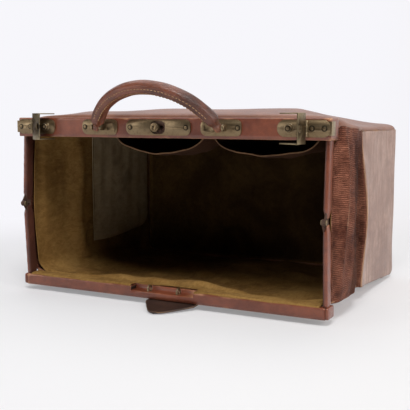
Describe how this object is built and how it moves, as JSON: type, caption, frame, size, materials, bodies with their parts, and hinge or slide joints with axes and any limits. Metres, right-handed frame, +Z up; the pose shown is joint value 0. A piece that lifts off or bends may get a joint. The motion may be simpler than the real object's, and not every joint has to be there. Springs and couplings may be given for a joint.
{
  "type": "gladstone bag",
  "caption": "Leather travel bag lying open, with a square folding steel mouth frame, lined inside with pockets, brass lock, claw catches and a swinging handle.",
  "frame": {"origin": "middle of the bag's box, on the surface that it lies on", "axes": "+X along the mouth to the right, -Y out through the mouth, +Z up with the bag lying on its lower side"},
  "size_m": [0.453, 0.3806, 0.2866],
  "materials": {
    "hide": "glossy, worn",
    "hide_dark": "satin, worn",
    "grip": "worn, polished by use",
    "brass": "aged, dull",
    "steel": "aged",
    "suede": "matt, napped",
    "facing": "matt",
    "board": "fibre board",
    "filling": "cord filling"
  },
  "bodies": {
    "root": {"lower_jaw_channel": "steel", "staple_plate": "steel", "lower_jaw_cover": "hide", "staples": "brass", "pull_tab": "hide_dark", "lower_corner_pins": "brass", "bottom_panel": "hide", "base_panel": "hide", "base_board": "board", "end_board_left": "hide", "end_board_right": "hide", "gusset_left": "hide_dark", "gusset_right": "hide_dark", "seam_piping": "hide_dark", "lining_bottom": "suede", "lining_back": "suede", "lining_left": "suede", "lining_right": "suede", "facing_left": "facing", "facing_right": "facing"},
    "lower_arm_right": {"lower_arm_right": "steel", "lower_sleeve_right": "hide", "knee_pin_right": "brass"},
    "lower_arm_left": {"lower_arm_left": "steel", "lower_sleeve_left": "hide", "knee_pin_left": "brass"},
    "upper_arm_right": {"upper_arm_right": "steel", "upper_sleeve_right": "hide"},
    "upper_arm_left": {"upper_arm_left": "steel", "upper_sleeve_left": "hide"},
    "upper_jaw": {"upper_jaw_channel": "steel", "upper_jaw_cover": "hide", "upper_corner_pins": "brass", "plate_rivets": "brass", "lock_plate": "brass", "lock_case": "steel", "lock_spring": "steel", "handle_plates": "brass", "handle_bars": "brass", "claw_plate_left": "brass", "claw_plate_right": "brass", "claw_pins": "steel", "claw_studs": "brass"},
    "upper_panel": {"top_panel": "hide", "lining_top": "suede", "pocket_left": "suede", "pocket_right": "suede"},
    "lock_slide": {"lock_button": "brass", "lock_bolt": "steel"},
    "handle": {"handle_grip": "grip", "handle_core": "filling"},
    "claw_left": {"claw_left": "brass"},
    "claw_right": {"claw_right": "brass"}
  },
  "joints": [
    {"name": "mouth_fold", "type": "hinge", "parent": "root", "child": "lower_arm_right", "pos_m": [0.2188, -0.12871, 0.013], "axis": [-1, 0, 0], "range_deg": [0, 93.63]},
    {"name": "knee_right", "type": "hinge", "parent": "lower_arm_right", "child": "upper_arm_right", "pos_m": [0.2188, -0.1427, 0.123], "axis": [1, 0, 0], "range_deg": [0, 187.27]},
    {"name": "jaw_corner_right", "type": "hinge", "parent": "upper_arm_right", "child": "upper_jaw", "pos_m": [0.2188, -0.12871, 0.233], "axis": [-1, 0, 0], "range_deg": [0, 93.63]},
    {"name": "lower_corner_left", "type": "hinge", "parent": "root", "child": "lower_arm_left", "pos_m": [-0.2188, -0.12871, 0.013], "axis": [-1, 0, 0], "range_deg": [0, 93.63]},
    {"name": "knee_left", "type": "hinge", "parent": "lower_arm_left", "child": "upper_arm_left", "pos_m": [-0.2188, -0.1427, 0.123], "axis": [1, 0, 0], "range_deg": [0, 187.27]},
    {"name": "upper_panel_fold", "type": "hinge", "parent": "root", "child": "upper_panel", "pos_m": [0, 0.19029, 0.137], "axis": [1, 0, 0], "range_deg": [0, 37.44]},
    {"name": "handle_swing", "type": "hinge", "parent": "upper_jaw", "child": "handle", "pos_m": [0, -0.15071, 0.23], "axis": [1, 0, 0], "range_deg": [-40, 147]},
    {"name": "claw_left_hinge", "type": "hinge", "parent": "upper_jaw", "child": "claw_left", "pos_m": [-0.197, -0.1475, 0.23], "axis": [0, 0, 1], "range_deg": [-120, 30]},
    {"name": "claw_right_hinge", "type": "hinge", "parent": "upper_jaw", "child": "claw_right", "pos_m": [0.197, -0.1475, 0.23], "axis": [0, 0, -1], "range_deg": [-60, 90]},
    {"name": "lock_travel", "type": "slide", "parent": "upper_jaw", "child": "lock_slide", "axis": [1, 0, 0], "range_m": [0, 0.008]}
  ],
  "couplings": [
    {"joint": "knee_right", "follows": "mouth_fold", "ratio": 2},
    {"joint": "jaw_corner_right", "follows": "mouth_fold", "ratio": 1},
    {"joint": "lower_corner_left", "follows": "mouth_fold", "ratio": 1},
    {"joint": "knee_left", "follows": "mouth_fold", "ratio": 2},
    {"joint": "upper_panel_fold", "follows": "mouth_fold", "ratio": 0.3998}
  ]
}
